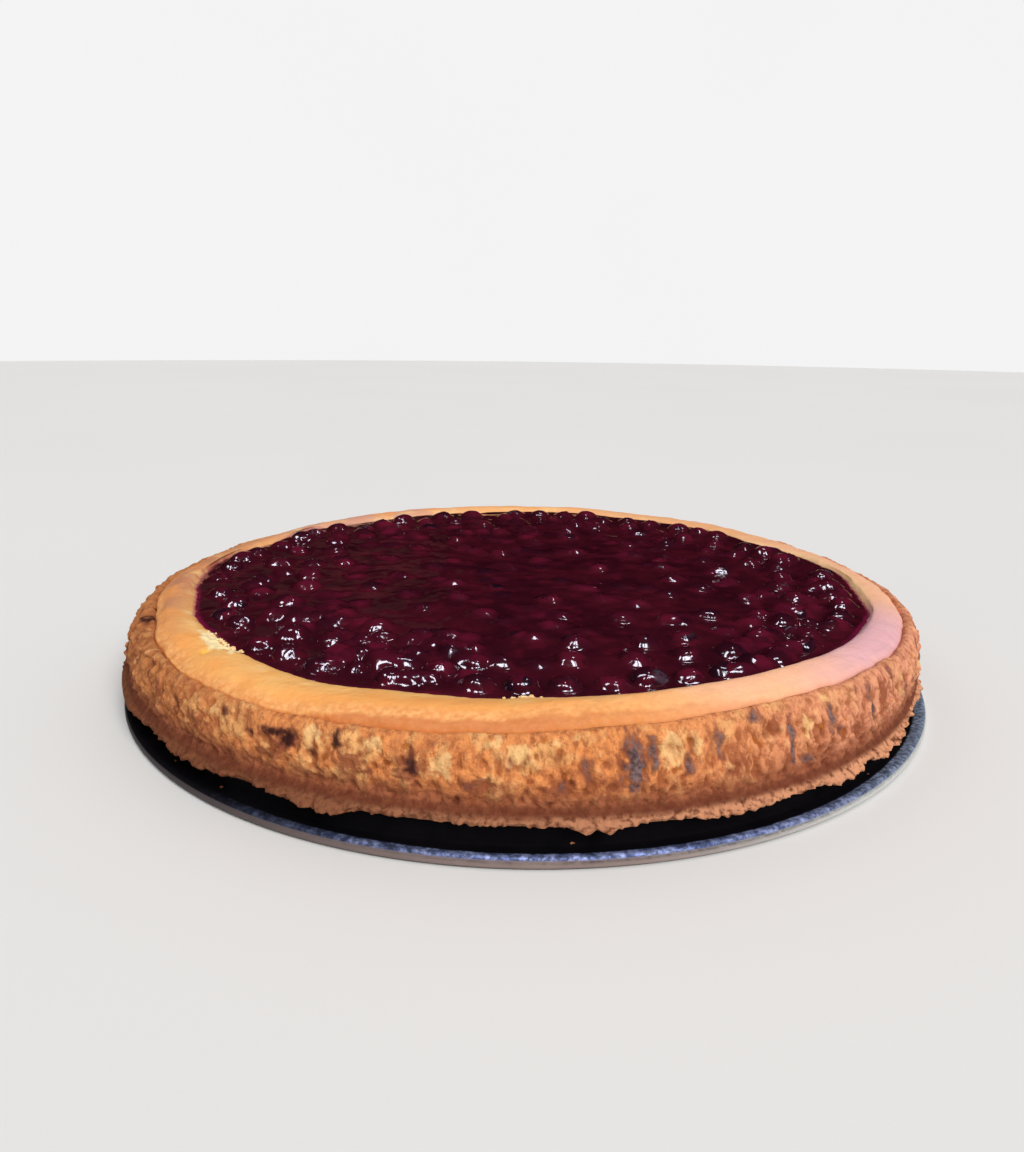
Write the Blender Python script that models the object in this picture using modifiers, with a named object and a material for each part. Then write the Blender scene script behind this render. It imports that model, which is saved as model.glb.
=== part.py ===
"""Blueberry cheesecake, 26 cm, standing on the base of the springform tin it was baked in.

Metres, +Z up. The origin is on the standing surface, under the middle of the tin base.
Run with: blender --background --python part.py
"""

import math
import random

import bmesh
import bpy
from mathutils import Matrix, Vector, noise

MM = 0.001

# The springform tin sets every other size: its ring is 26 cm across inside.
RING_RADIUS = 130.0 * MM
FIT_GAP = 0.3 * MM              # between pieces that touch
MERGE = 0.01 * MM               # for the points of a turned shape that meet on the axis

# Tin base: a pressed steel disc, flat side up, with a rolled bead round its lower edge.
BEAD_RADIUS = RING_RADIUS + 4.0 * MM
BEAD_HEIGHT = 3.0 * MM
PLATEAU_RADIUS = RING_RADIUS - 3.0 * MM
PLATEAU_HEIGHT = 8.0 * MM
SHEET = 1.0 * MM
TIN_STEPS = 48

# Pastry case: shortcrust base and wall.
PASTRY_BASE = 4.0 * MM
PASTRY_WALL = 5.2 * MM
PASTRY_STEPS = 120
CRAG_DEPTH = 1.1 * MM
FLAKE_REACH = 2.0 * MM

# Cheese filling: its baked rim stands above the pastry and rolls over it.
CREASE_HEIGHT = 27.6 * MM       # where the rim meets the pastry's top edge
RIM_HEIGHT = 30.8 * MM
RIM_CREST_RADIUS = RING_RADIUS - 12.5 * MM
FILLING_STEPS = 90

# Blueberry topping: glaze poured into the sunken middle, full of whole berries.
POOL_RADIUS = 109.5 * MM
POOL_FLOOR = 23.2 * MM
POOL_LEVEL = 28.5 * MM
BERRY_RADIUS = 4.7 * MM
BERRY_SIDES = 8
BERRY_SEED = 26

PASTRY_FOOT = PLATEAU_HEIGHT + FIT_GAP
PASTRY_FLOOR = PASTRY_FOOT + PASTRY_BASE


def clear_scene():
    for old in list(bpy.data.objects):
        bpy.data.objects.remove(old, do_unlink=True)


def new_collection(name):
    collection = bpy.data.collections.new(name)
    bpy.context.scene.collection.children.link(collection)
    return collection


def finish_material(name, colour, roughness, metallic=0.0):
    material = bpy.data.materials.new(name)
    material.use_nodes = True
    shader = material.node_tree.nodes["Principled BSDF"]
    shader.inputs["Base Color"].default_value = (*colour, 1.0)
    shader.inputs["Roughness"].default_value = roughness
    shader.inputs["Metallic"].default_value = metallic
    return material


def add_object(name, mesh, collection, material=None):
    made = bpy.data.objects.new(name, mesh)
    collection.objects.link(made)
    if material:
        mesh.materials.clear()
        mesh.materials.append(material)
    return made


def evaluated_mesh(source, name):
    """The object's mesh with its modifiers applied, welded, as a new mesh."""
    bpy.context.view_layer.update()
    graph = bpy.context.evaluated_depsgraph_get()
    mesh = bpy.data.meshes.new_from_object(source.evaluated_get(graph))
    mesh.name = name
    work = bmesh.new()
    work.from_mesh(mesh)
    bmesh.ops.remove_doubles(work, verts=work.verts, dist=MERGE)
    bmesh.ops.recalc_face_normals(work, faces=work.faces)
    work.to_mesh(mesh)
    work.free()
    return mesh


def turned_mesh(name, profile, steps, collection):
    """Turns an open profile of (radius, height) points, whose ends lie on the axis, about Z."""
    outline = bpy.data.meshes.new(name + "_profile")
    points = [(radius, 0.0, height) for radius, height in profile]
    outline.from_pydata(points, [(i, i + 1) for i in range(len(points) - 1)], [])
    guide = add_object(name + "_profile", outline, collection)
    screw = guide.modifiers.new("Turn", "SCREW")
    screw.axis = "Z"
    screw.steps = steps
    screw.render_steps = steps
    screw.use_merge_vertices = True
    screw.merge_threshold = MERGE
    mesh = evaluated_mesh(guide, name)
    bpy.data.objects.remove(guide, do_unlink=True)
    return mesh


def arc(centre, radius, start_deg, end_deg, count):
    """Points of an arc in the profile plane, from one angle to the other."""
    turns = [math.radians(start_deg + (end_deg - start_deg) * i / (count - 1)) for i in range(count)]
    return [(centre[0] + radius * math.cos(t), centre[1] + radius * math.sin(t)) for t in turns]


def smooth_step(value, low, high):
    t = min(1.0, max(0.0, (value - low) / (high - low)))
    return t * t * (3.0 - 2.0 * t)


def bump(angle, centre_deg, width_deg):
    """A round hump of height 1 in angle, about a bearing in degrees."""
    away = (math.degrees(angle) - centre_deg + 180.0) % 360.0 - 180.0
    return math.exp(-((away / width_deg) ** 2))


def lean(angle, height):
    """How far the wall and rim stray from round: fuller at the left front, drawn in at the right."""
    share = smooth_step(height, PASTRY_FLOOR, CREASE_HEIGHT)
    upper = 1.2 * bump(angle, 236, 24) - 2.2 * bump(angle, 296, 30)
    upper -= 2.6 * bump(angle, 160, 28) + 2.6 * bump(angle, 22, 34)
    lower = 1.8 * bump(angle, 190, 34) + 0.5 * math.sin(5 * angle + 1.0)
    return (share * upper + (1.0 - share) * lower) * MM


def rise(angle, height):
    """The rim's crest and the pastry's top edge stand a little higher in some places than others."""
    share = smooth_step(height, 0.6 * CREASE_HEIGHT, CREASE_HEIGHT)
    waves = 2.4 * bump(angle, 303, 36) + 0.3 * math.sin(4 * angle + 0.6)
    return share * waves * MM


def pool_radius(angle):
    """The glaze's shore: round, wider at the front, with lobes where it ran up the rim."""
    broad = 3.4 * bump(angle, 345, 34) + 3.8 * bump(angle, 176, 15) - 4.2 * bump(angle, 272, 20)
    lobes = 4.4 * bump(angle, 145, 6) + 2.6 * bump(angle, 84, 9) - 4.0 * bump(angle, 27, 14)
    ripples = 0.5 * math.sin(11 * angle) + 0.35 * math.sin(19 * angle + 2.0)
    return POOL_RADIUS + (broad + lobes + ripples) * MM


def mark_round_edges(mesh, angle_deg=40.0):
    mesh.shade_smooth()
    mesh.set_sharp_from_angle(angle=math.radians(angle_deg))


def tin_base(collection):
    """The springform's base, pressed from sheet steel: plateau, step, channel and rolled bead."""
    under = PLATEAU_HEIGHT - SHEET
    middle = (BEAD_RADIUS - BEAD_HEIGHT / 2, BEAD_HEIGHT / 2)
    channel = BEAD_HEIGHT - 0.5 * MM
    inside = middle[0] - BEAD_HEIGHT / 2
    profile = [(0.0, PLATEAU_HEIGHT), (PLATEAU_RADIUS - 0.8 * MM, PLATEAU_HEIGHT)]
    profile += [(PLATEAU_RADIUS, PLATEAU_HEIGHT - 0.8 * MM), (PLATEAU_RADIUS + 1.0 * MM, channel)]
    profile += [(middle[0] - 0.9 * MM, channel)]
    profile += arc(middle, BEAD_HEIGHT / 2, 90, -40, 5)
    profile += [(middle[0] + 0.8 * MM, 0.0), (inside + 0.3 * MM, 0.0)]
    profile += [(inside, channel - SHEET), (PLATEAU_RADIUS - 0.4 * MM, channel - SHEET)]
    profile += [(PLATEAU_RADIUS - SHEET, under - 0.8 * MM), (PLATEAU_RADIUS - 1.8 * MM, under), (0.0, under)]
    mesh = turned_mesh("tin_base", profile, TIN_STEPS, collection)
    mark_round_edges(mesh)
    return add_object("tin_base", mesh, collection, finish_material("tin_coating", (0.02, 0.022, 0.028), 0.35, 0.7))


def pastry_relief(radius, angle, height):
    """Radius and height of a point on the outside of the pastry, with its crags and its ragged foot."""
    place = Vector((math.cos(angle), math.sin(angle), height / RING_RADIUS)) * 22.0
    crag = noise.fractal(place, 0.9, 2.1, 3) * CRAG_DEPTH
    wall = smooth_step(height, 12.6 * MM, 15.0 * MM)
    foot = 1.0 - smooth_step(height, 11.8 * MM, 12.8 * MM)
    flake = noise.noise(Vector((math.cos(angle), math.sin(angle), 0.4)) * 16.0)
    flake += 0.5 * noise.noise(Vector((math.cos(angle), math.sin(angle), 2.4)) * 34.0)
    reach = foot * (flake * FLAKE_REACH - 0.6 * MM)
    return radius + wall * crag + reach, height + 0.35 * wall * crag


def pastry_case(collection):
    """Shortcrust, pressed over the tin base and up its ring, with the flakes that ran out under the ring."""
    inner = RING_RADIUS - PASTRY_WALL
    foot, floor, crease = PASTRY_FOOT, PASTRY_FLOOR, CREASE_HEIGHT
    profile = [(0.0, floor), (inner - 1.0 * MM, floor), (inner, floor + 1.0 * MM), (inner, crease - 1.4 * MM)]
    profile += [(inner + 1.2 * MM, crease - 0.3 * MM), (RING_RADIUS - 2.0 * MM, crease - 1.2 * MM)]
    wall = [(0.8, 24.8), (0.1, 22.6), (-0.2, 20.4), (-0.2, 18.2), (0.2, 16.1), (0.9, 14.2), (1.7, 12.7)]
    profile += [(RING_RADIUS - inset * MM, height * MM) for inset, height in wall]
    profile += [(BEAD_RADIUS - 1.8 * MM, floor - 0.6 * MM), (BEAD_RADIUS - 0.2 * MM, foot + 2.2 * MM)]
    profile += [(BEAD_RADIUS - 1.0 * MM, foot + 1.0 * MM), (PLATEAU_RADIUS + 1.2 * MM, foot + 0.9 * MM)]
    profile += [(PLATEAU_RADIUS - 0.6 * MM, foot), (0.0, foot)]
    mesh = turned_mesh("pastry_case", profile, PASTRY_STEPS, collection)
    outside = RING_RADIUS - 2.2 * MM
    for vertex in mesh.vertices:
        x, y, height = vertex.co
        radius, angle = math.hypot(x, y), math.atan2(y, x)
        if radius < 0.5 * inner:
            continue
        level = height
        if radius > outside:
            radius, height = pastry_relief(radius, angle, height)
        if level > floor + 0.5 * MM or radius > outside:
            radius = min(radius + lean(angle, level), BEAD_RADIUS - 0.2 * MM)
        height += rise(angle, level)
        vertex.co = (radius * math.cos(angle), radius * math.sin(angle), height)
    mark_round_edges(mesh, 60.0)
    return add_object("pastry_case", mesh, collection, finish_material("pastry", (0.62, 0.33, 0.13), 0.8))


def cheese_filling(collection):
    """Baked cheese, filling the pastry, with a smooth rim that rolls over the crease and a sunken middle."""
    side = RING_RADIUS - PASTRY_WALL - FIT_GAP
    foot = PASTRY_FLOOR + FIT_GAP
    shore = POOL_RADIUS + FIT_GAP
    crest = RIM_CREST_RADIUS
    profile = [(0.0, POOL_FLOOR - FIT_GAP), (shore, POOL_FLOOR - FIT_GAP), (shore, POOL_LEVEL - 0.6 * MM)]
    profile += [(shore + 0.5 * (crest - shore), RIM_HEIGHT - 0.6 * MM), (crest, RIM_HEIGHT)]
    profile += [(crest + 3.2 * MM, RIM_HEIGHT - 0.5 * MM), (side - 0.8 * MM, RIM_HEIGHT - 1.5 * MM)]
    profile += [(side + 0.8 * MM, CREASE_HEIGHT + 1.2 * MM), (side, CREASE_HEIGHT - 0.4 * MM)]
    profile += [(side, foot + 1.0 * MM), (side - 1.0 * MM, foot), (0.0, foot)]
    mesh = turned_mesh("cheese_filling", profile, FILLING_STEPS, collection)
    for vertex in mesh.vertices:
        x, y, height = vertex.co
        radius, angle = math.hypot(x, y), math.atan2(y, x)
        if radius < 0.5 * side or (height < foot + 0.5 * MM):
            continue
        level = height
        to_crest = smooth_step(radius, shore, crest)
        if height > POOL_FLOOR - FIT_GAP - 0.1 * MM:
            radius += (1.0 - to_crest) * (pool_radius(angle) - POOL_RADIUS)
        radius += to_crest * lean(angle, level)
        height += to_crest * rise(angle, level)
        vertex.co = (radius * math.cos(angle), radius * math.sin(angle), height)
    mark_round_edges(mesh)
    return add_object("cheese_filling", mesh, collection, finish_material("baked_cheese", (0.85, 0.56, 0.22), 0.5))


def glaze_slab(name, collection):
    """The pool of glaze: a slab whose outline is the shore, with a rounded upper and lower edge."""
    rounding = 0.7 * MM
    curve = bpy.data.curves.new(name, "CURVE")
    curve.dimensions = "2D"
    curve.fill_mode = "BOTH"
    curve.extrude = (POOL_LEVEL - POOL_FLOOR) / 2 - rounding
    curve.bevel_depth = rounding
    curve.bevel_resolution = 0
    spline = curve.splines.new("POLY")
    spline.points.add(FILLING_STEPS - 1)
    spline.use_cyclic_u = True
    for i, point in enumerate(spline.points):
        angle = 2 * math.pi * i / FILLING_STEPS
        radius = pool_radius(angle) - rounding
        point.co = (radius * math.cos(angle), radius * math.sin(angle), 0.0, 1.0)
    guide = bpy.data.objects.new(name, curve)
    guide.location.z = (POOL_FLOOR + POOL_LEVEL) / 2
    collection.objects.link(guide)
    mesh = evaluated_mesh(guide, name)
    mesh.transform(guide.matrix_world)
    bpy.data.objects.remove(guide, do_unlink=True)
    return add_object(name, mesh, collection)


def berry_places():
    """(x, y, radius, lift) of each whole berry: a close row along the shore, then a looser scatter inside."""
    draw = random.Random(BERRY_SEED)
    places = []

    def try_place(angle, away, radius, lift, spacing):
        x, y = away * math.cos(angle), away * math.sin(angle)
        if all(math.hypot(x - a, y - b) > spacing for a, b, _, _ in places):
            places.append((x, y, radius, lift))

    row = round(2 * math.pi * POOL_RADIUS / (2.5 * BERRY_RADIUS))
    for i in range(row):
        angle = 2 * math.pi * (i + draw.uniform(-0.2, 0.2)) / row
        radius = BERRY_RADIUS * draw.uniform(0.88, 1.08)
        inset = radius + draw.uniform(1.2, 3.0) * MM
        lift = draw.uniform(0.2, 0.8) * MM
        try_place(angle, pool_radius(angle) - inset, radius, lift, 2.0 * BERRY_RADIUS)
    for _ in range(1600):
        angle = draw.uniform(0, 2 * math.pi)
        away = (POOL_RADIUS - 9 * MM) * math.sqrt(draw.random())
        radius = BERRY_RADIUS * draw.uniform(0.85, 1.08)
        shore = smooth_step(away, 0.45 * POOL_RADIUS, 0.9 * POOL_RADIUS)
        lift = (draw.uniform(-0.35, 0.15) + 0.4 * shore) * MM
        try_place(angle, away, radius, lift, (3.0 - 0.9 * shore) * BERRY_RADIUS)
    return places


def blueberry_topping(collection):
    """Glaze with whole berries: one heap, each berry showing as a dome of its true size."""
    glaze = glaze_slab("blueberry_topping", collection)
    glaze.data.materials.append(finish_material("berry_glaze", (0.07, 0.004, 0.016), 0.12))
    heap = new_collection("berries")
    for i, (x, y, radius, lift) in enumerate(berry_places()):
        work = bmesh.new()
        bmesh.ops.create_uvsphere(work, u_segments=BERRY_SIDES, v_segments=4, radius=1.0)
        tall = 0.76 * radius
        middle = max(POOL_FLOOR + tall + 0.2 * MM, POOL_LEVEL - 0.9 * MM + lift)
        size = Matrix.Diagonal((radius, radius, tall, 1.0))
        place = Matrix.Translation((x, y, middle)) @ size @ Matrix.Rotation(i * 2.4, 4, "Z")
        bmesh.ops.transform(work, matrix=place, verts=work.verts)
        mesh = bpy.data.meshes.new(f"berry_{i}")
        work.to_mesh(mesh)
        work.free()
        add_object(f"berry_{i}", mesh, heap)
    join = glaze.modifiers.new("Berries", "BOOLEAN")
    join.operation = "UNION"
    join.operand_type = "COLLECTION"
    join.collection = heap
    join.solver = "MANIFOLD"
    bpy.context.view_layer.update()
    graph = bpy.context.evaluated_depsgraph_get()
    joined = bpy.data.meshes.new_from_object(glaze.evaluated_get(graph))
    glaze.modifiers.remove(join)
    glaze.data = joined
    joined.name = "blueberry_topping"
    for berry in list(heap.objects):
        bpy.data.objects.remove(berry, do_unlink=True)
    bpy.data.collections.remove(heap)
    mark_round_edges(joined)
    return glaze


def main():
    clear_scene()
    cake = new_collection("blueberry_cheesecake")
    tin_base(cake)
    pastry_case(cake)
    cheese_filling(cake)
    blueberry_topping(cake)


main()
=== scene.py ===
"""Looks of a whole blueberry cheesecake on its springform base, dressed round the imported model.

Sizes are in millimetres and become metres as each mesh is made. Bearings are in degrees, anticlockwise
from +X seen from above, so the photograph looks at the front, bearing 270.
"""

import math
import random

import bmesh
import bpy
import numpy as np
from mathutils import Matrix, Vector, noise


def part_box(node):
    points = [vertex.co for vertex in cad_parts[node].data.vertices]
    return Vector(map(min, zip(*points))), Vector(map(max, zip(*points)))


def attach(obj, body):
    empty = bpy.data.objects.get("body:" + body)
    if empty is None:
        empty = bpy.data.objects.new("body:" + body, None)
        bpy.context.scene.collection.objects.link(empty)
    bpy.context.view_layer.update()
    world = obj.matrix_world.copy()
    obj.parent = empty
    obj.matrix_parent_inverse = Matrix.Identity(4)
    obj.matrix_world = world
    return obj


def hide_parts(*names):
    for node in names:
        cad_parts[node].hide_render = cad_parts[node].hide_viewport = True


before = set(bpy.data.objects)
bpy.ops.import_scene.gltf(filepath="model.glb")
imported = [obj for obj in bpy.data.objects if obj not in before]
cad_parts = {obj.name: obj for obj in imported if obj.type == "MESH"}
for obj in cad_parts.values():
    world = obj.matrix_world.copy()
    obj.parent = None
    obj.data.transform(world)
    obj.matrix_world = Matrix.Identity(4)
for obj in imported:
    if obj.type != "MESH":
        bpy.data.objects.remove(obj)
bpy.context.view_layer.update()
MM = 0.001


# Camera: a phone's wide lens held close to the cake and a little above it.
# Its place and tilt were fitted to the round edges of the base, the flange and the topping.
PICTURE_HEIGHT = 1152
FOCAL_PIXELS = 866
CAMERA_PLACE = (-4.5, -297.6, 113.5)
LOOK_DOWN_DEG = 15.88
ROLL_DEG = 0.64
SENSOR = 36.0

lens = bpy.data.cameras.new("phone_lens")
lens.lens = SENSOR * FOCAL_PIXELS / PICTURE_HEIGHT
lens.sensor_width = SENSOR
lens.clip_start = 10 * MM
camera = bpy.data.objects.new("camera", lens)
bpy.context.scene.collection.objects.link(camera)
tilt = Matrix.Rotation(math.radians(90 - LOOK_DOWN_DEG), 4, "X")
roll = Matrix.Rotation(math.radians(ROLL_DEG), 4, "Z")
camera.matrix_world = Matrix.Translation(Vector(CAMERA_PLACE) * MM) @ tilt @ roll
bpy.context.scene.camera = camera


# Springform base: a disc pressed from steel sheet, lip down, so that the cake stands on its plateau.
# Black non-stick coat, worn through to speckled steel on the rolled bead, with an uncoated outer face. The
# bead carries a painted glint and, towards the right, a painted sky reflection; the outer face carries
# painted shade at the left and a painted reflection at the right.
tin_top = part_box("tin_base")[1] / MM
BEAD_EDGE = tin_top.x
PLATEAU_TOP = tin_top.z
PLATEAU_EDGE = BEAD_EDGE - 7.0
BEAD_TOP = 3.0
CHANNEL = BEAD_TOP - 0.5
SHEET = 1.0
TIN_STEPS = 288


def arc(centre, radius, start, end, count):
    """Points of an arc in the profile plane, angles in degrees."""
    turns = np.radians(np.linspace(start, end, count))
    return [(centre[0] + radius * math.cos(t), centre[1] + radius * math.sin(t)) for t in turns]


def skin(name, grid, top, bottom, marks=()):
    """A closed mesh from rings of points (rows, steps, xyz), with a pole above and one below.

    marks are named numbers, one a point, that the finish reads as attributes.
    """
    rows, steps = grid.shape[:2]
    points = np.vstack([grid.reshape(-1, 3), [top], [bottom]]) * MM
    upper = np.arange((rows - 1) * steps).reshape(rows - 1, steps)
    beside = np.roll(upper, -1, axis=1)
    quads = np.stack([upper, upper + steps, beside + steps, beside], axis=-1).reshape(-1, 4).tolist()
    first, last = upper[0], upper[-1] + steps
    pole = rows * steps
    fans = [[pole, int(a), int(b)] for a, b in zip(first, np.roll(first, -1))]
    fans += [[pole + 1, int(b), int(a)] for a, b in zip(last, np.roll(last, -1))]
    mesh = bpy.data.meshes.new(name)
    mesh.from_pydata(points.tolist(), [], quads + fans)
    for mark, values in dict(marks).items():
        layer = mesh.attributes.new(mark, "FLOAT", "POINT")
        layer.data.foreach_set("value", np.append(values.ravel(), [0.0, 0.0]).astype(np.float32))
    mesh.shade_smooth()
    made = bpy.data.objects.new(name, mesh)
    bpy.context.scene.collection.objects.link(made)
    return made


def rings(profile, steps):
    """The grid of a plain turned shape: each profile point swept round at its own radius and height."""
    turns = np.linspace(0, 2 * math.pi, steps, endpoint=False)
    radius, height = np.array(profile).T
    flat = np.stack([np.outer(radius, np.cos(turns)), np.outer(radius, np.sin(turns))], axis=-1)
    return np.concatenate([flat, np.broadcast_to(height[:, None, None], (*flat.shape[:2], 1))], axis=-1)


class Tone:
    """A number, colour or vector on a shader socket. Arithmetic on it adds the Math nodes it needs."""

    def __init__(self, finish, socket):
        self.finish = finish
        self.socket = socket

    def __add__(self, other):
        return self.finish.maths("ADD", self, other)

    def __sub__(self, other):
        return self.finish.maths("SUBTRACT", self, other)

    def __rsub__(self, other):
        return self.finish.maths("SUBTRACT", other, self)

    def __mul__(self, other):
        return self.finish.maths("MULTIPLY", self, other)

    __radd__ = __add__
    __rmul__ = __mul__


class Finish:
    """A procedural material: a Principled shader and the nodes that feed it."""

    def __init__(self, name, fixed):
        self.material = bpy.data.materials.new(name)
        self.material.use_nodes = True
        self.tree = self.material.node_tree
        self.shader = self.tree.nodes["Principled BSDF"]
        self.feed(self.shader, fixed)
        place = self.node("TexCoord", {}, output="Object")
        self.place = self.node("VectorMath", {0: place, "Scale": 1 / MM}, {"operation": "SCALE"})
        apart = self.node("SeparateXYZ", {0: self.place}).socket.node
        self.x, self.y, self.z = (Tone(self, apart.outputs[axis]) for axis in "XYZ")

    def feed(self, node, sockets):
        """Sets or links each named socket of a node."""
        for name, value in sockets.items():
            socket = node.inputs[name]
            if isinstance(value, Tone):
                self.tree.links.new(value.socket, socket)
            elif socket.type == "RGBA":
                socket.default_value = (*value, 1.0)
            else:
                socket.default_value = value

    def node(self, kind, sockets, settings=None, output=0):
        made = self.tree.nodes.new("ShaderNode" + kind)
        for name, value in (settings or {}).items():
            setattr(made, name, value)
        self.feed(made, sockets)
        return Tone(self, made.outputs[output])

    def maths(self, operation, a, b):
        return self.node("Math", {0: a, 1: b}, {"operation": operation})

    def ease(self, value, low, high):
        """0 below low, 1 above high, smooth between."""
        return self.node("MapRange", {"Value": value, "From Min": low, "From Max": high},
                         {"interpolation_type": "SMOOTHSTEP"})

    def mix(self, under, over, share):
        """One colour laid over another."""
        return self.node("Mix", {0: share, 6: under, 7: over}, {"data_type": "RGBA"}, output=2)

    def stretched(self, size, tall=1.0):
        """Where the point is, in units of size, with features tall times as high as they are wide."""
        return self.node("VectorMath", {0: self.place, 1: (1 / size, 1 / size, 1 / (size * tall))},
                         {"operation": "MULTIPLY"})

    def grain(self, size, detail=3.0, tall=1.0, rough=0.5):
        """Noise from 0 to 1 with features of about this size in mm."""
        return self.node("TexNoise", {"Vector": self.stretched(size, tall), "Scale": 1.0, "Detail": detail,
                                      "Roughness": rough})

    def mark(self, name):
        """A number that the mesh carries at each point."""
        return self.node("Attribute", {}, {"attribute_name": name}, output="Fac")

    def bump(self, height, depth):
        """Fine relief, depth in mm for a height from 0 to 1."""
        return self.node("Bump", {"Height": height, "Distance": depth * MM, "Strength": 1.0})


bead_middle = (BEAD_EDGE - BEAD_TOP / 2, BEAD_TOP / 2)
tin_profile = [(PLATEAU_EDGE - 20, PLATEAU_TOP)]
tin_profile += arc((PLATEAU_EDGE - 0.9, PLATEAU_TOP - 0.9), 0.9, 90, 10, 6)
tin_profile += arc((PLATEAU_EDGE + 1.5, CHANNEL + 0.8), 0.8, 185, 270, 5)
tin_profile += [(bead_middle[0] - 2.2, CHANNEL + 0.05), (bead_middle[0] - 1.2, CHANNEL + 0.25)]
tin_profile += arc(bead_middle, BEAD_TOP / 2, 105, -60, 16)
tin_profile += [(bead_middle[0] + 0.5, 0.0), (bead_middle[0] - 0.6, 0.0), (bead_middle[0] - 1.4, 0.7)]
tin_profile += [(bead_middle[0] - 1.5, CHANNEL - SHEET), (PLATEAU_EDGE - 0.3, CHANNEL - SHEET)]
tin_profile += [(PLATEAU_EDGE - SHEET, PLATEAU_TOP - SHEET - 0.8), (PLATEAU_EDGE - 1.9, PLATEAU_TOP - SHEET)]
tin = skin("springform_base", rings(tin_profile, TIN_STEPS), (0, 0, PLATEAU_TOP), (0, 0, PLATEAU_TOP - SHEET))

coat = Finish("worn_nonstick", {"IOR": 1.5, "Specular IOR Level": 0.03})
reach = coat.maths("POWER", coat.x * coat.x + coat.y * coat.y, 0.5)
fray = 0.5 * coat.grain(3.0, detail=4.0)
# Towards the right the bead gets a wider, paler blue band: a painted sky reflection.
sky_reflection_side = coat.ease(coat.x, 50.0, 115.0)
on_bead = coat.ease(reach + fray + 0.9 * sky_reflection_side, BEAD_EDGE - 2.7, BEAD_EDGE - 2.0)
on_bead = on_bead * coat.ease(coat.z, 1.2, 2.0)
outer_face = coat.ease(reach, BEAD_EDGE - 0.5, BEAD_EDGE - 0.2)
scuffs = coat.ease(coat.grain(1.3, detail=5.0, rough=0.7), 0.40, 0.60)
to_right = coat.ease(coat.x + 30.0 * coat.grain(20.0), -70.0, 50.0)
worn = on_bead * (0.3 + 0.7 * scuffs) * (1.0 - 0.25 * sky_reflection_side) * to_right
black = coat.mix((0.002, 0.002, 0.003), (0.007, 0.006, 0.008), coat.grain(5.0, detail=4.0))
# Bright blue flecks on the worn steel are a painted glint of light; the steel's blue tone is painted shine.
painted_glints = coat.ease(coat.grain(3.0, detail=4.0), 0.36, 0.68)
bead_metal_and_glint = coat.mix((0.12, 0.16, 0.34), (0.46, 0.55, 0.95), painted_glints)
bead_metal_and_glint = coat.mix(bead_metal_and_glint, (0.42, 0.52, 0.64), 0.6 * sky_reflection_side)
speckled = coat.mix(black, bead_metal_and_glint, worn)
bare_face_shade_and_shine = coat.mix((0.29, 0.215, 0.20), (0.40, 0.315, 0.295), coat.grain(7.0, detail=4.0))
# The outer face is painted dark at the left as shade, and pale at the right as a painted reflection.
bare_face_shade_and_shine = coat.mix((0.05, 0.045, 0.05), bare_face_shade_and_shine, 0.1 + 0.9 * coat.ease(coat.x, -100.0, 10.0))
bare_face_shade_and_shine = coat.mix(bare_face_shade_and_shine, (0.72, 0.74, 0.72), coat.ease(coat.x, 15.0, 95.0))
coat.feed(coat.shader, {
    "Base Color": coat.mix(speckled, bare_face_shade_and_shine, outer_face),
    "Metallic": 0.45 * worn + 0.45 * outer_face,
    "Roughness": 0.50 + 0.18 * coat.grain(3.0) - 0.12 * worn,
    "Normal": coat.bump(coat.grain(0.8, detail=4.0), 0.06),
})
tin.data.materials.append(coat.material)
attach(tin, "root")
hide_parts("tin_base")


# Pastry case: shortcrust, pressed by hand over the base and up the ring, so its side is a crumbly wall.
# Toasted in patches, scorched in streaks where butter ran, with ragged flakes squeezed out under the ring.
RING = BEAD_EDGE - 4.0
PASTRY_FOOT = PLATEAU_TOP + 0.3
PASTRY_FLOOR = PASTRY_FOOT + 4.0
WALL_INSIDE = RING - 5.2
CREASE = 27.6
PASTRY_STEPS = 1440
ROW_SPACING = 0.5
# Blender seeds noise_vector from the clock, so it gets a fixed seed, or the pits would move from run to run.
NOISE_SEED = 8
noise.seed_set(NOISE_SEED)
# Marks left by the oven: bearing, height, half width and half length in mm, and how strong.
# Scorched streaks are grey or nearly black; browned blots are toasted; pale ones had no heat.
SCORCHED = [
    (227, 22.0, 1.0, 3.4, 0.55), (240, 22.6, 1.4, 1.0, 0.8), (245.2, 23.6, 2.8, 2.4, 1.0),
    (243, 24.6, 3.6, 1.2, 1.0), (250.5, 24.8, 1.2, 2.4, 0.9), (254, 19.4, 1.5, 1.2, 0.4),
    (258.4, 21.2, 1.6, 4.2, 0.8), (264, 18.2, 2.4, 1.6, 0.5), (275.5, 21.0, 1.4, 2.6, 0.6),
    (280.2, 21.2, 2.3, 5.4, 1.0), (282.2, 23.2, 1.4, 3.4, 0.8), (286, 20.4, 1.5, 1.8, 0.8),
    (289.4, 23.8, 1.3, 2.8, 0.7), (294, 26.6, 1.8, 1.2, 0.8), (298.5, 20.6, 1.2, 4.8, 1.0),
    (300.5, 16.6, 1.6, 1.6, 0.7), (304.5, 22.9, 1.5, 2.6, 0.8), (306, 19.5, 1.1, 1.6, 0.6),
    (312.8, 24.0, 1.4, 2.6, 0.9), (313.2, 20.6, 0.7, 2.6, 0.9), (203, 27.4, 3.0, 0.9, 1.0),
    (198, 26.8, 1.6, 0.9, 0.8), (236, 25.6, 1.6, 1.2, 0.6), (248, 21.5, 1.4, 1.8, 0.5),
    (310, 26.0, 1.8, 0.9, 0.6), (319, 24.6, 1.4, 2.6, 0.7), (273, 17.6, 1.2, 1.6, 0.55),
    (268, 22.6, 1.0, 1.4, 0.45),
]
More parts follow.
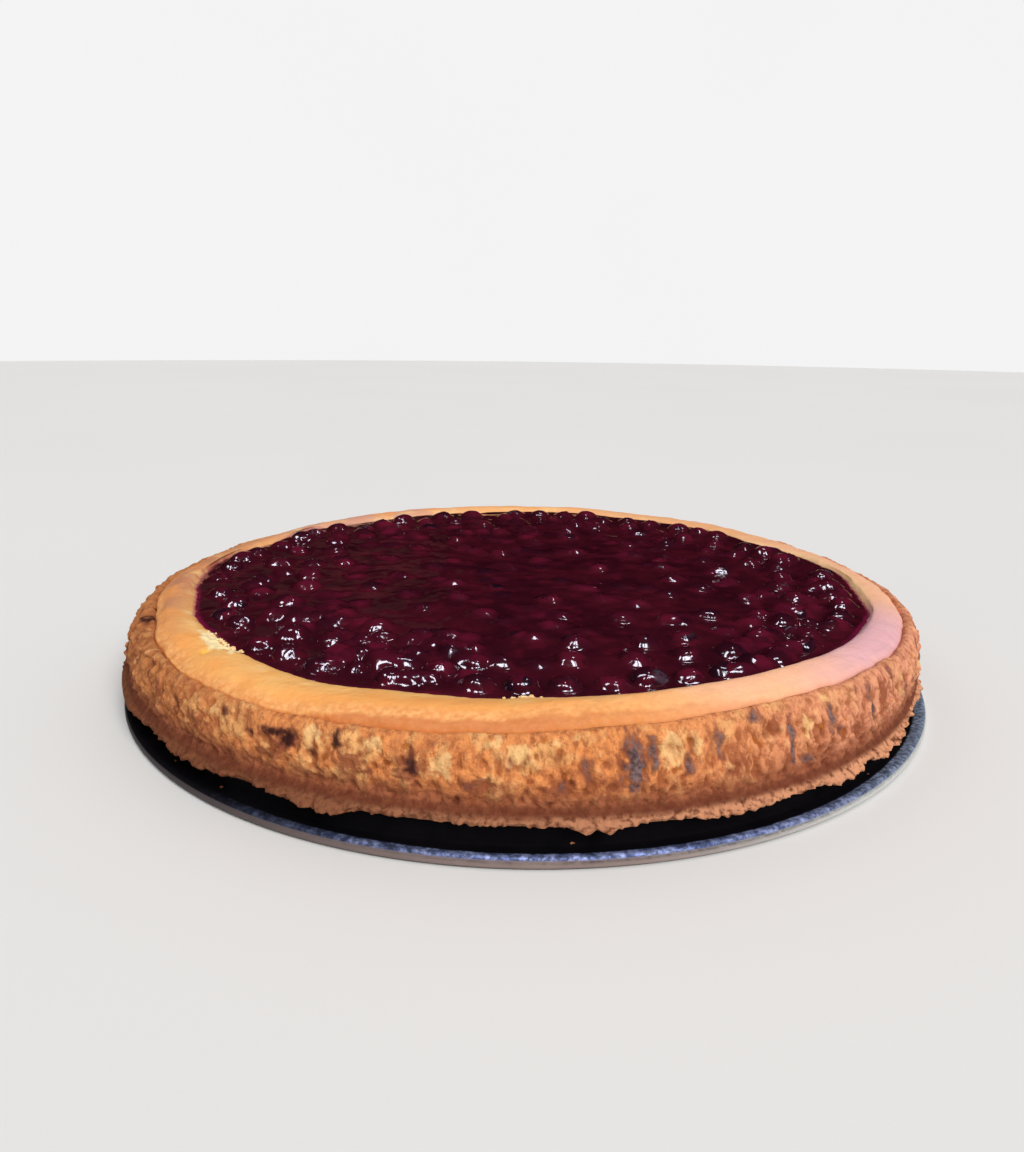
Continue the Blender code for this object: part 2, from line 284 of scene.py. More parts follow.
BROWNED = [
    (252, 20.6, 3.4, 2.8, 1.0), (258, 20.0, 3.0, 3.5, 0.8), (242.5, 18.6, 4.4, 2.0, 0.9),
    (265.2, 18.0, 3.6, 2.2, 1.0), (272.8, 17.4, 3.5, 1.8, 1.0), (291, 19.0, 3.4, 2.6, 0.6),
    (304, 17.6, 3.8, 2.0, 0.5), (231, 19.5, 4.5, 3.2, 0.8), (309.5, 18.4, 3.0, 2.6, 0.8),
    (298, 17.6, 3.4, 1.8, 0.7), (278, 18.0, 3.0, 2.2, 0.7), (280, 22.0, 3.8, 4.6, 0.6),
    (222, 21.5, 3.6, 3.0, 0.6), (296, 24.5, 2.6, 2.0, 0.6), (316, 22.0, 3.0, 4.0, 0.8),
    (244, 22.4, 5.0, 2.4, 1.0),
]
PALE = [
    (247.8, 25.6, 1.9, 2.0, 1.0), (247.5, 21.6, 1.1, 2.4, 0.9), (234, 24.5, 3.0, 2.0, 0.5),
    (261.4, 22.0, 2.8, 2.6, 1.0), (268.8, 24.4, 3.0, 2.4, 1.0), (284.2, 23.8, 3.0, 3.0, 1.0),
    (273.5, 26.4, 4.0, 1.2, 0.5), (301, 22.8, 1.8, 2.2, 0.9), (254.5, 25.4, 3.2, 1.6, 0.8),
    (304, 26.6, 2.0, 1.4, 0.7), (287, 24.0, 2.0, 2.0, 0.6), (266.5, 26.4, 2.4, 1.2, 0.7),
]
# More marks of each kind round the sides and back, which the photograph doesn't show.
MARK_SEED = 17
FIRST_BEARING, LAST_BEARING = -40, 222
draw = random.Random(MARK_SEED)
for marks, count, widest, longest in (
        (SCORCHED, 44, 1.8, 4.5),
        (BROWNED, 40, 4.0, 3.5),
        (PALE, 30, 3.2, 2.8)):
    for _ in range(count):
        marks.append((draw.uniform(FIRST_BEARING, LAST_BEARING), draw.uniform(16, 25),
                      draw.uniform(0.6, widest), draw.uniform(1, longest), draw.uniform(0.3, 0.9)))


def rise_and_fall(value, low, high):
    """0 below low, 1 above high, smooth between."""
    t = min(1.0, max(0.0, (value - low) / (high - low)))
    return t * t * (3.0 - 2.0 * t)


def hump(bearing, centre, width):
    """A round hump of height 1 about a bearing."""
    away = (bearing - centre + 180.0) % 360.0 - 180.0
    return math.exp(-((away / width) ** 2))


def lean(bearing, height):
    """How far wall and rim stray from round: fuller at the left front, drawn in at the right."""
    share = rise_and_fall(height, PASTRY_FLOOR, CREASE)
    turn = math.radians(bearing)
    upper = 1.2 * hump(bearing, 236, 24) - 2.2 * hump(bearing, 296, 30)
    upper -= 2.6 * hump(bearing, 160, 28) + 2.6 * hump(bearing, 22, 34)
    lower = 1.8 * hump(bearing, 190, 34) + 0.5 * math.sin(5 * turn + 1.0)
    return share * upper + (1.0 - share) * lower


def rise(bearing, height):
    """The rim's crest and the pastry's edge stand higher in some places than in others."""
    share = rise_and_fall(height, 0.6 * CREASE, CREASE)
    waves = 2.4 * hump(bearing, 303, 36) + 0.3 * math.sin(4 * math.radians(bearing) + 0.6)
    return share * waves


def crease_place(bearing):
    """How far the seam between rim and pastry wanders: inward, and upward."""
    around = Vector((math.cos(math.radians(bearing)), math.sin(math.radians(bearing)), 0.4))
    inward = 2.6 * hump(bearing, 202, 11)
    inward += 0.5 * noise.noise(around * 13.0)
    inward += 0.25 * noise.noise(around * 40.0)
    return inward, 0.55 * noise.noise(around * 9.0) + 0.35 * noise.noise(around * 27.0)


def smooth_line(points, spacing):
    """Points along a smooth curve through the given ones, about this far apart."""
    before_first = 2 * np.array(points[0]) - points[1]
    after_last = 2 * np.array(points[-1]) - points[-2]
    ends = [before_first, *map(np.array, points), after_last]
    line = []
    for before, start, end, after in zip(ends, ends[1:], ends[2:], ends[3:]):
        count = max(1, round(float(np.linalg.norm(end - start)) / spacing))
        for t in np.arange(count) / count:
            pull = (end - before) * t + (2 * before - 5 * start + 4 * end - after) * t ** 2
            line.append(start + 0.5 * (pull + (3 * start - before - 3 * end + after) * t ** 3))
    return [*line, ends[-2]]


def wall_relief(bearing, height):
    """How far the wall swells and its crumbs stand out, in mm, and how deep in a pit it is, 0 to 1."""
    turn = math.radians(bearing)
    here = Vector((RING * math.cos(turn), RING * math.sin(turn), height))
    lumpy = min(1.0, hump(bearing, 208, 34) + 0.6 * hump(bearing, 60, 50))
    warped = here + 1.1 * noise.noise_vector(here / 2.6)
    near = noise.voronoi(warped / 3.7)[0]
    cobbles = 1.5 * (0.45 - near[0]) + 1.9 * (min(0.22, near[1] - near[0]) - 0.18)
    knobs = 0.75 * (0.42 - noise.voronoi(here / 1.9)[0][0])
    squat = Vector((here.x, here.y, here.z * 0.72))
    grains = 0.95 * noise.noise(squat / 1.5) + 0.70 * noise.noise(squat / 2.8 + Vector((9, 4, 2)))
    grains -= 0.9 * abs(noise.noise(squat / 3.6 + Vector((2, 7, 3))))
    hollow = noise.voronoi((squat + 1.0 * noise.noise_vector(squat / 1.7)) / 2.7)[0][0]
    spongy = rise_and_fall(noise.noise(here / 12.0 + Vector((3, 8, 5))), -0.35, 0.15)
    hollow += 0.25 * noise.noise(here / 1.2)
    pit = (1.0 - rise_and_fall(hollow, 0.08, 0.40)) * spongy * (1.0 - 0.7 * lumpy)
    crumb = 0.42 * noise.fractal(here / 1.2, 0.8, 2.2, 2)
    calm = 1.0 - 0.6 * (1.0 - lumpy) * rise_and_fall(height, CREASE - 4.5, CREASE - 1.0)
    stand = calm * (lumpy * (cobbles + knobs) + (1.0 - 0.85 * lumpy) * (grains - 1.1 * pit) + crumb)
    return 0.55 * noise.fractal(here / 9.0, 0.9, 2.1, 3), stand, pit


def marked(marks, bearing, height, fray):
    """How strongly a point of the wall is marked, from 0 to 1, with frayed edges to each mark."""
    most = 0.0
    for middle, level, half_width, half_length, strength in marks:
        across = ((bearing - middle + 180) % 360 - 180) * math.radians(RING) / half_width
        if abs(across) < 2.0:
            away = math.hypot(across, (height - level) / half_length) + fray
            most = max(most, strength * (1.0 - rise_and_fall(away, 0.1, 1.5)))
    return most


lip = [(WALL_INSIDE, CREASE - 1.2), (WALL_INSIDE + 0.7, CREASE - 0.3), (WALL_INSIDE + 1.5, CREASE + 0.3)]
lip += [(RING - 2.6, CREASE + 0.1), (RING - 1.5, CREASE - 1.2), (RING - 0.6, CREASE - 3.0)]
side = [(RING, 22.4), (RING + 0.3, 19.6), (RING + 0.2, 17.2), (RING - 0.2, 15.0), (RING - 0.4, 13.6)]
groove = [(RING - 0.4, PASTRY_FLOOR + 0.5), (RING + 0.2, PASTRY_FLOOR - 0.4)]
flange = [(RING + 1.1, PASTRY_FLOOR - 1.3), (RING + 1.9, PASTRY_FOOT + 2.1), (RING + 2.2, PASTRY_FOOT + 1.4)]
flange += [(RING + 1.7, PASTRY_FOOT + 0.7), (RING + 0.2, PASTRY_FOOT + 0.6)]
flange += [(PLATEAU_EDGE + 1.2, PASTRY_FOOT + 0.8)]
outline = smooth_line(lip + side + groove + flange, ROW_SPACING)
inside = [(WALL_INSIDE - 1.0, PASTRY_FLOOR), (WALL_INSIDE, PASTRY_FLOOR + 1.0)]
pastry_profile = inside + [tuple(point) for point in outline] + [(PLATEAU_EDGE - 0.6, PASTRY_FOOT)]

pastry_grid = np.zeros((len(pastry_profile), PASTRY_STEPS, 3))
pits, proud, scorch, browned, pale = (np.zeros(pastry_grid.shape[:2]) for _ in range(5))
for step in range(PASTRY_STEPS):
    bearing = 360.0 * step / PASTRY_STEPS
    turn = math.radians(bearing)
    around = Vector((math.cos(turn), math.sin(turn), 0.4))
    clump = rise_and_fall(noise.noise(around * 7.0), -0.25, 0.3)
    teeth = 1.0 * noise.noise(around * 60.0) + 1.1 * noise.noise(around * 118.0)
    ragged = 1.2 * noise.noise(around * 16.0) + 0.25 * teeth
    inward, upward = crease_place(bearing)
    for row, (radius, height) in enumerate(pastry_profile):
        level = height
        shows = rise_and_fall(radius, WALL_INSIDE + 0.3, WALL_INSIDE + 2.2)
        wall = shows * rise_and_fall(height, PASTRY_FLOOR, PASTRY_FLOOR + 1.6)
        foot = rise_and_fall(radius, RING + 0.3, RING + 2.0) * (1.0 - rise_and_fall(height, 11.8, 12.6))
        if wall > 0.0:
            swell, stand, pits[row, step] = wall_relief(bearing, height)
            fray = 0.6 * noise.noise(Vector((bearing * 1.3, height * 0.5, 1.0)))
            fray += 0.5 * noise.noise(Vector((bearing * 3.1, height * 1.1, 7.0)))
            scorch[row, step] = marked(SCORCHED, bearing, height, fray)
            browned[row, step] = marked(BROWNED, bearing, height, 1.3 * fray)
            pale[row, step] = marked(PALE, bearing, height, -fray)
            proud[row, step] = 0.5 + 0.45 * stand
            height += 0.35 * wall * stand + upward * rise_and_fall(level, CREASE - 4.0, CREASE - 1.0)
            radius += wall * (swell + stand)
        if level > CREASE - 4.0:
            radius -= inward * (1.0 - rise_and_fall(radius, RING - 3.5, RING - 0.4))
        if foot > 0.0:
            here = Vector((RING * around.x, RING * around.y, height))
            crumbs = 1.3 * noise.noise(here / 1.7) + 0.7 * noise.noise(here / 0.9)
            radius += foot * (ragged + crumbs + 1.3 * clump - 1.0 * hump(bearing, 335, 22) - 0.5)
            height -= foot * (-0.5 + 1.3 * clump + (0.3 + 0.4 * clump) * teeth)
        if level > PASTRY_FLOOR + 0.5 or shows > 0.0:
            radius = min(radius + lean(bearing, level), BEAD_EDGE - 0.1)
        height = max(height + rise(bearing, level), PASTRY_FOOT)
        pastry_grid[row, step] = (radius * around.x, radius * around.y, height)
pastry = skin("shortcrust_case", pastry_grid, (0, 0, PASTRY_FLOOR), (0, 0, PASTRY_FOOT),
              {"pit": pits, "proud": proud, "scorch": scorch, "browned": browned, "pale": pale})

crust = Finish("baked_shortcrust", {"IOR": 1.4, "Specular IOR Level": 0.04})
left = 1.0 - crust.ease(crust.x, -122.0, -42.0)
right = crust.ease(crust.x, 15.0, 100.0)
stand = crust.mark("proud")
crust_colour = crust.mix((0.88, 0.33, 0.11), (0.56, 0.225, 0.08), left)
crust_colour = crust.mix(crust_colour, (0.86, 0.37, 0.22), right)
patches = crust.ease(crust.grain(7.0, detail=5.0, tall=1.3), 0.50, 0.62)
patches = patches * (1.0 - 0.75 * left) * (1.0 - 0.7 * right)
crust_colour = crust.mix(crust_colour, (0.98, 0.58, 0.23), 0.6 * patches)
blots = crust.ease(crust.grain(3.2, detail=5.0, tall=1.5, rough=0.7), 0.50, 0.60)
crust_colour = crust.mix(crust_colour, (0.42, 0.125, 0.052), 0.5 * blots)
toasted = crust.ease(crust.mark("browned") + 1.6 * crust.grain(2.2, detail=5.0) - 0.8, 0.0, 0.65)
crust_colour = crust.mix(crust_colour, (0.30, 0.085, 0.042), 0.85 * toasted)
pallid = crust.ease(crust.mark("pale") + 1.6 * crust.grain(2.6, detail=5.0) - 0.8, 0.15, 0.65)
crust_colour = crust.mix(crust_colour, (1.0, 0.62, 0.27), 0.85 * pallid * (1.0 - 0.5 * left))
# Lighter crumb tops are a painted highlight; the dark in the hollows between crumbs is painted shade.
crumb_top_highlight = crust.mix((0.98, 0.56, 0.25), (0.88, 0.48, 0.21), left)
crust_colour = crust.mix(crust_colour, crumb_top_highlight, 0.65 * crust.ease(stand, 0.56, 0.86) * (1.0 - 0.7 * toasted))
crust_colour = crust.mix(crust_colour, (0.34, 0.095, 0.030), 0.75 * (1.0 - crust.ease(stand, 0.05, 0.42)))
crust_colour = crust.mix(crust_colour, (0.62, 0.20, 0.030), 0.6 * crust.ease(crust.mark("pit"), 0.35, 0.9) * (1.0 - left))
cracks = crust.ease(crust.grain(1.7, detail=5.0, tall=1.8, rough=0.7), 0.50, 0.62)
crust_colour = crust.mix(crust_colour, (0.40, 0.115, 0.045), 0.6 * cracks * (1.0 - 0.6 * left) * (1.0 - 0.6 * pallid))
tide = crust.z + 5.0 * crust.grain(3.6, detail=4.0, tall=1.6) - 2.5
low = crust.mix((0.20, 0.055, 0.030), (0.38, 0.125, 0.062),
                crust.ease(crust.grain(1.8, detail=5.0), 0.35, 0.65))
crust_colour = crust.mix(crust_colour, low, 0.9 * (1.0 - crust.ease(tide, 13.4, 19.8)))
ash = crust.mix((0.10, 0.065, 0.070), (0.24, 0.175, 0.18), crust.ease(crust.grain(1.2), 0.35, 0.65))
grey = crust.mix((0.030, 0.010, 0.012), ash, crust.ease(crust.x, -35.0, 25.0))
frayed = crust.mark("scorch") + 0.8 * crust.grain(1.6, detail=3.0, tall=2.0) - 0.4
crust_colour = crust.mix(crust_colour, (0.30, 0.09, 0.045), 0.75 * crust.ease(frayed, -0.1, 0.45))
crust_colour = crust.mix(crust_colour, grey, 0.92 * crust.ease(frayed, 0.12, 0.95))
# The flange darkens towards the left: painted shade.
flange_tone_shaded_left = crust.mix((0.22, 0.08, 0.038), (0.74, 0.34, 0.185), crust.ease(crust.x, -80.0, 80.0))
flakes = crust.mix((0.17, 0.055, 0.028), flange_tone_shaded_left, crust.ease(crust.grain(1.5, detail=5.0), 0.30, 0.56))
crust_colour = crust.mix(flakes, crust_colour, crust.ease(crust.z + crust.grain(3.0) - 0.5, 10.9, 12.0))
# The dark band in the groove above the flange is painted shade.
groove_shade = crust.ease(crust.z, 10.6, 11.6) * (1.0 - crust.ease(crust.z, 12.4, 13.6))
crust_colour = crust.mix(crust_colour, (0.11, 0.028, 0.016), 0.6 * groove_shade)
fine = crust.grain(0.8, detail=5.0, rough=0.65)
crust.feed(crust.shader, {
    "Base Color": crust_colour,
    "Roughness": 0.62 + 0.2 * crust.grain(2.0),
    "Normal": crust.bump(fine + 0.9 * crust.grain(2.0, detail=3.0, tall=1.4), 0.7),
})
pastry.data.materials.append(crust.material)
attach(pastry, "root")
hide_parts("pastry_case")


# Cheese filling: baked soft cheese, set with a smooth rolled rim that stands above the pastry.
# Its middle sank as it cooled and holds the topping. The rim is torn at the left where the glaze meets it.
RIM_TOP = 30.8
CREST = RING - 12.5
POOL = 109.5
POOL_LEVEL = 28.5
POOL_FLOOR = 23.2
FILLING_STEPS = 900
TEAR_BEARING = 220.5
TEAR_WIDTH = 6
PINHOLE_BEARING = 223.0
PINHOLE_OUT = 8.0


def shore(bearing):
    """The glaze's edge: round, wider at the right, with lobes where it ran up the rim."""
    turn = math.radians(bearing)
    broad = 3.4 * hump(bearing, 345, 34) + 3.8 * hump(bearing, 176, 15) - 4.2 * hump(bearing, 272, 20)
    lobes = 4.4 * hump(bearing, 145, 6) + 2.6 * hump(bearing, 84, 9) - 4.0 * hump(bearing, 27, 14)
    return POOL + broad + lobes + 0.5 * math.sin(11 * turn) + 0.35 * math.sin(19 * turn + 2.0)


def ragged_shore(bearing):
    """The same edge with its small frays."""
    around = Vector((math.cos(math.radians(bearing)), math.sin(math.radians(bearing)), 0.2))
    return shore(bearing) + 0.5 * noise.noise(around * 16.0) + 0.35 * noise.noise(around * 50.0)


def shore_rise(bearing):
    """How much higher glaze and rim meet at the right, where the cake stood fuller in its ring."""
    return 1.1 * hump(bearing, 12, 40)


filling_side = WALL_INSIDE - 0.3
rim = [(POOL + 0.3, POOL_LEVEL - 0.9), (POOL + 1.4, POOL_LEVEL + 0.6), (0.5 * (POOL + CREST), RIM_TOP - 0.5)]
rim += [(CREST, RIM_TOP), (CREST + 3.0, RIM_TOP - 0.5), (filling_side - 1.7, RIM_TOP - 1.4)]
rim += [(filling_side - 0.5, CREASE + 1.2), (filling_side + 0.4, CREASE + 0.1)]
rim += [(filling_side + 0.6, CREASE - 0.8)]
filling_profile = [(POOL + 0.3, POOL_FLOOR - 0.3), *smooth_line(rim, ROW_SPACING)]
filling_profile += [(filling_side, PASTRY_FLOOR + 1.3), (filling_side - 1.0, PASTRY_FLOOR + 0.3)]

filling_grid = np.zeros((len(filling_profile), FILLING_STEPS, 3))
from_shore = np.zeros(filling_grid.shape[:2])
torn = np.zeros(filling_grid.shape[:2])
dip = np.zeros(filling_grid.shape[:2])
for step in range(FILLING_STEPS):
    bearing = 360.0 * step / FILLING_STEPS
    turn = math.radians(bearing)
    edge = ragged_shore(bearing)
    inward, upward = crease_place(bearing)
    notch = hump(bearing, TEAR_BEARING + 1.0, 3.5)
    for row, (radius, height) in enumerate(filling_profile):
        level = height
        to_crest = rise_and_fall(radius, POOL + 0.3, CREST)
        to_side = rise_and_fall(radius, CREST, filling_side)
        on_rim = rise_and_fall(level, POOL_LEVEL - 1.2, POOL_LEVEL)
        if level > POOL_FLOOR - 0.4:
            radius += (1.0 - to_crest) * (edge - POOL)
            height += (1.0 - to_crest) * shore_rise(bearing)
        from_shore[row, step] = out = radius - edge
        radius += to_crest * lean(bearing, level) - to_side * inward
        height += to_crest * rise(bearing, level) + to_side * on_rim * upward
        here = Vector((radius * math.cos(turn), radius * math.sin(turn), height))
        gentle = 0.36 * noise.noise(here / 22.0) + 0.22 * noise.noise(here / 8.0 + Vector((5, 5, 5)))
        gentle += 0.08 * noise.noise(here / 3.0) - 0.15
        outer = rise_and_fall(out, 7.0, 14.0)
        gentle += outer * (0.25 * noise.noise(here / 4.0) + 0.5 * min(0.0, noise.noise(here / 11.0)))
        tear = hump(bearing, TEAR_BEARING, TEAR_WIDTH) * (1.0 - rise_and_fall(out, 2.5, 8.5))
        crumbled = rise_and_fall(tear + 0.35 * noise.noise(here / 2.5), 0.32, 0.58) * on_rim
        torn[row, step] = crumbled
        hole = math.hypot((bearing - PINHOLE_BEARING) * math.radians(radius), out - PINHOLE_OUT)
        dip[row, step] = 1.0 - rise_and_fall(hole, 0.7, 2.2)
        height += on_rim * (gentle - 0.9 * notch * rise_and_fall(out, 2.0, 9.0) - 1.2 * dip[row, step])
        height += crumbled * (0.9 * noise.fractal(here / 1.6, 0.8, 2.1, 3) - 0.2)
        filling_grid[row, step] = (radius * math.cos(turn), radius * math.sin(turn), height)
filling = skin("baked_cheese", filling_grid, (0, 0, POOL_FLOOR - 0.3), (0, 0, PASTRY_FLOOR + 0.3),
               {"from_shore": from_shore, "torn": torn, "dip": dip})

cheese = Finish("baked_cheese_rim", {"IOR": 1.42, "Specular IOR Level": 0.12, "Subsurface Weight": 0.12,
                                     "Subsurface Scale": 0.004, "Subsurface Radius": (1.0, 0.45, 0.2)})
out = cheese.mark("from_shore")
wander = cheese.x + 30.0 * cheese.grain(25.0) - 15.0
front = 1.0 - cheese.ease(cheese.y, -60.0, -20.0)
# Pinker towards the right, with a lilac patch at the right front: a painted sky reflection.
rim_colour = cheese.mix((0.94, 0.49, 0.155), (0.94, 0.50, 0.30), cheese.ease(wander, -5.0, 55.0))
rim_colour = cheese.mix(rim_colour, (0.75, 0.42, 0.48), 0.9 * cheese.ease(wander, 58.0, 92.0) * front)
rim_colour = cheese.mix(rim_colour, (0.88, 0.44, 0.20), 0.8 * cheese.ease(cheese.y, 20.0, 80.0))
back_left = cheese.ease(cheese.y, 35.0, 70.0) * (1.0 - cheese.ease(cheese.x, -60.0, -20.0))
rim_colour = cheese.mix(rim_colour, (0.60, 0.30, 0.25), 0.75 * back_left)
shaded = 1.0 - cheese.ease(cheese.x - 0.5 * out, -122.0, -92.0)
rim_colour = cheese.mix(rim_colour, (0.52, 0.195, 0.125), 0.85 * shaded)
brown = cheese.ease(cheese.grain(13.0, detail=4.0) + 0.035 * out, 0.62, 0.95)
rim_colour = cheese.mix(rim_colour, (0.94, 0.37, 0.095), 0.7 * brown * (1.0 - cheese.ease(wander, 0.0, 50.0)))
pallid = cheese.ease(cheese.grain(10.0, detail=3.0), 0.48, 0.68) * (1.0 - cheese.ease(out, 3.0, 10.0))
rim_colour = cheese.mix(rim_colour, (0.99, 0.66, 0.29),
                        0.6 * pallid * (1.0 - cheese.ease(wander, 30.0, 80.0)))
edge_tone = cheese.mix((0.80, 0.32, 0.105), (0.94, 0.48, 0.18),
                       cheese.ease(cheese.grain(1.6, detail=5.0), 0.35, 0.65))
rim_colour = cheese.mix(rim_colour, edge_tone, (0.85 - 0.65 * cheese.ease(wander, -10.0, 45.0))
                        * cheese.ease(out + 4.0 * cheese.grain(5.0, detail=4.0), 13.6, 17.0))
# The darker line along the seam with the pastry is painted shade in the crease.
rim_colour = cheese.mix(rim_colour, (0.60, 0.18, 0.05), (0.75 - 0.45 * cheese.ease(wander, -10.0, 45.0))
                        * cheese.ease(out + 2.0 * cheese.grain(4.0), 16.2, 17.8))
rim_colour = cheese.mix(rim_colour, (0.96, 0.76, 0.42), cheese.mark("torn"))
rim_colour = cheese.mix(rim_colour, (0.86, 0.50, 0.05), 0.9 * cheese.mark("dip"))
# The inner slope at the right, shaded from the key, is painted lighter and more orange: painted light.
lit_inner_right_slope = (1.0 - cheese.ease(out, 1.0, 6.0)) * cheese.ease(cheese.x, 80.0, 105.0)
rim_colour = cheese.mix(rim_colour, (1.0, 0.64, 0.33),
                        0.9 * lit_inner_right_slope * cheese.ease(cheese.y, -45.0, -15.0))
sides = 1.0 - cheese.ease(cheese.x, -100.0, -70.0)
stain = 1.0 - cheese.ease(out + 1.6 * cheese.grain(3.0, detail=4.0) - 0.8, 0.9, 2.1)
rim_colour = cheese.mix(rim_colour, (0.40, 0.05, 0.12),
                        stain * (0.1 + 0.6 * sides) * (1.0 - cheese.mark("torn")))
cheese.feed(cheese.shader, {
    "Base Color": rim_colour,
    "Roughness": 0.40 + 0.14 * cheese.grain(6.0) + 0.3 * cheese.mark("torn"),
    "Normal": cheese.bump(cheese.grain(1.3, detail=4.0) + 1.6 * cheese.grain(4.5, detail=3.0), 0.26),
})
filling.data.materials.append(cheese.material)
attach(filling, "root")
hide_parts("cheese_filling")


# Blueberries: whole, cooked soft in the glaze, so each is a little wrinkled and squat; some show a calyx.
# They lie close along the shore and at the left, and looser or nearly sunk towards the middle.
BERRY = 4.7
BERRY_SEED = 26
SQUAT = 0.76
BERRY_SIDES, BERRY_RINGS = 26, 13
BERRY_LEVEL = POOL_LEVEL - 0.9
SCATTER_TRIES = 1600


def berry_places():
    """(x, y, radius, lift) of each whole berry: a close row along the shore, then a looser scatter inside."""
    draw = random.Random(BERRY_SEED)
    places = []

    def try_place(turn, away, radius, lift, spacing):
        x, y = away * math.cos(turn), away * math.sin(turn)
        if all(math.hypot(x - a, y - b) > spacing for a, b, _, _ in places):
            places.append((x, y, radius, lift))

    row = round(2 * math.pi * POOL / (2.5 * BERRY))
    for i in range(row):
        turn = 2 * math.pi * (i + draw.uniform(-0.2, 0.2)) / row
        radius = BERRY * draw.uniform(0.88, 1.08)
        inset = radius + draw.uniform(1.2, 3.0)
        lift = draw.uniform(0.2, 0.8) + 0.55 * shore_rise(math.degrees(turn))
        try_place(turn, shore(math.degrees(turn)) - inset, radius, lift, 2.0 * BERRY)
    for _ in range(SCATTER_TRIES):
        turn = draw.uniform(0, 2 * math.pi)
        away = (POOL - 9) * math.sqrt(draw.random())
        radius = BERRY * draw.uniform(0.85, 1.08)
        near_shore = rise_and_fall(away, 0.45 * POOL, 0.9 * POOL)
        lift = draw.uniform(-0.35, 0.15) + 0.4 * near_shore
        try_place(turn, away, radius, lift, (3.0 - 0.9 * near_shore) * BERRY)
    return places


berries = berry_places()
draw = random.Random(BERRY_SEED + 1)
berry_turns = np.linspace(0, 2 * math.pi, BERRY_SIDES, endpoint=False)
berry_points, berry_faces, berry_tint, berry_crown = [], [], [], []
for x, y, radius, lift in berries:
    tint, wrinkled = draw.random(), draw.uniform(0.5, 1.6)
    tip = Vector((draw.uniform(-0.9, 0.9), draw.uniform(-0.9, 0.9), 1.0 if draw.random() < 0.4 else -1.0))
    tip.normalize()
    level = BERRY_LEVEL + lift
    start = len(berry_points)
    for ring in range(BERRY_RINGS + 1):
        down = math.pi * ring / BERRY_RINGS
        for turn in berry_turns:
            way = Vector((math.sin(down) * math.cos(turn), math.sin(down) * math.sin(turn), math.cos(down)))
            seed = way + Vector((x, y, 0.0))
            size = 1.0 + wrinkled * (0.060 * noise.noise(seed * 1.9) + 0.035 * noise.noise(seed * 4.3))
            toward = way.dot(tip)
            side_way = way - toward * tip
            petals = 1.0 + 0.35 * math.cos(5 * math.atan2(side_way.y, side_way.x))
            collar = math.exp(-(((toward - 0.90) / 0.035) ** 2)) * petals
            size += 0.05 * collar - 0.10 * rise_and_fall(toward, 0.92, 0.97)
            berry_points.append((x + way.x * size * radius, y + way.y * size * radius,
                                 level + way.z * size * radius * SQUAT))
            berry_tint.append(tint)
            berry_crown.append(rise_and_fall(toward, 0.86, 0.93))
    for ring in range(BERRY_RINGS):
        for k in range(BERRY_SIDES):
            a, b = start + ring * BERRY_SIDES + k, start + ring * BERRY_SIDES + (k + 1) % BERRY_SIDES
            berry_faces.append((a, a + BERRY_SIDES, b + BERRY_SIDES, b))
berry_mesh = bpy.data.meshes.new("blueberries")
berry_mesh.from_pydata([(x * MM, y * MM, z * MM) for x, y, z in berry_points], [], berry_faces)
for mark, values in (("tint", berry_tint), ("crown", berry_crown)):
    berry_mesh.attributes.new(mark, "FLOAT", "POINT").data.foreach_set("value", values)
berry_mesh.shade_smooth()
whole_berries = bpy.data.objects.new("blueberries", berry_mesh)
bpy.context.scene.collection.objects.link(whole_berries)

peel = Finish("glazed_blueberry", {"IOR": 1.5})
berry_skin = peel.mix((0.014, 0.004, 0.010), (0.055, 0.004, 0.012), peel.mark("tint"))
berry_skin = peel.mix(berry_skin, (0.11, 0.006, 0.020), 0.6 * peel.ease(peel.grain(6.0), 0.5, 0.7))
berry_skin = peel.mix(berry_skin, (0.05, 0.05, 0.075), 0.5 * peel.mark("crown"))
peel.feed(peel.shader, {
    "Base Color": berry_skin,
    "Roughness": 0.08 + 0.08 * peel.grain(2.0) + 0.25 * peel.mark("crown"),
    "Normal": peel.bump(peel.grain(3.2, detail=0.0), 0.6),
})
whole_berries.data.materials.append(peel.material)
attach(whole_berries, "root")
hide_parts("blueberry_topping")


# Glaze: thickened berry juice, poured warm and set to a wet gloss. It climbs a little on every berry,
# swells over the sunk ones, and thins to magenta where it meets the cheese.
GLAZE_STEPS, GLAZE_ROWS = 840, 112
SUNK_BERRIES = 110
# Where sunk berries crowd: first and last bearing, nearest and furthest from the middle, and how many.
CROWD = ((205, 262, 70, 102, 44), (-62, 20, 86, 107, 24), (20, 200, 84, 100, 10))
FULLER = 0.45
FILLED = 0.7
RUN_OVER = 1.0
MENISCUS = 1.5

